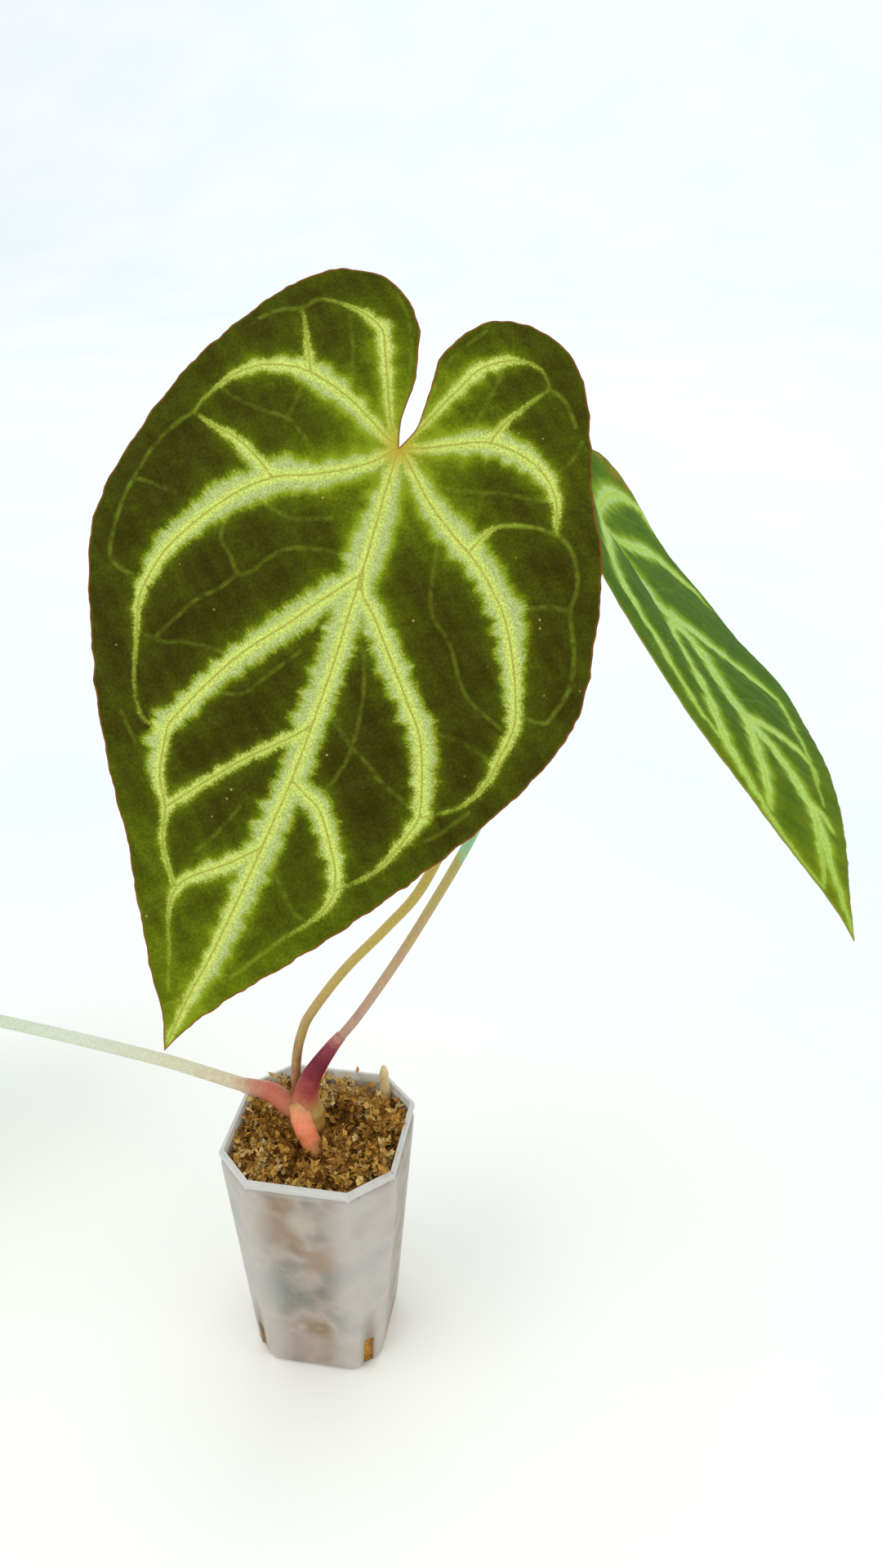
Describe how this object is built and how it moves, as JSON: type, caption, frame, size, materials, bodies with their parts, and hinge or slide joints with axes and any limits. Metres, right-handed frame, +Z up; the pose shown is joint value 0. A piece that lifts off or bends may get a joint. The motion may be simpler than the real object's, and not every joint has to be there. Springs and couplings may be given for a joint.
{
  "type": "potted anthurium magnificum",
  "caption": "Heart-leaved velvet aroid with pale veins on long stalks, rooted in sphagnum moss in a deep square nursery pot; stands on a flat surface as decoration.",
  "frame": {"origin": "centre of the pot's flat underside, on the surface that it stands on", "axes": "+Z up, -Y towards the side that the large front leaf faces, X and Y square to the pot's flat walls"},
  "size_m": [0.4154, 0.1954, 0.3722],
  "materials": {
    "pot_plastic": "thin milky translucent plastic, softly frosted",
    "sphagnum_moss": "matt damp golden brown moss strands",
    "dry_moss_stem": "matt dry pale tan stem",
    "stem_skin": "satin olive gold skin with leaf scars",
    "root_skin": "satin salmon pink skin",
    "maroon_sheath": "satin dark maroon",
    "salmon_sheath": "satin salmon red",
    "golden_stalk": "satin olive gold",
    "pinkish_stalk": "satin pinkish tan turning olive",
    "pale_stalk": "satin pale green",
    "velvet_leaf": "velvety dark olive green with feathered pale silver green vein bands",
    "fresh_leaf": "velvety mid green with feathered pale vein bands",
    "young_leaf": "velvety green with feathered pale vein bands"
  },
  "bodies": {
    "root": {"pot": "pot_plastic", "moss": "sphagnum_moss", "moss_strand": "dry_moss_stem", "stem": "stem_skin", "aerial_root": "root_skin", "sheath_right": "maroon_sheath", "sheath_left": "salmon_sheath", "petiole_front": "golden_stalk", "petiole_right": "pinkish_stalk", "petiole_left": "pale_stalk", "blade_front": "velvet_leaf", "blade_right": "fresh_leaf", "blade_left": "young_leaf"}
  },
  "joints": []
}
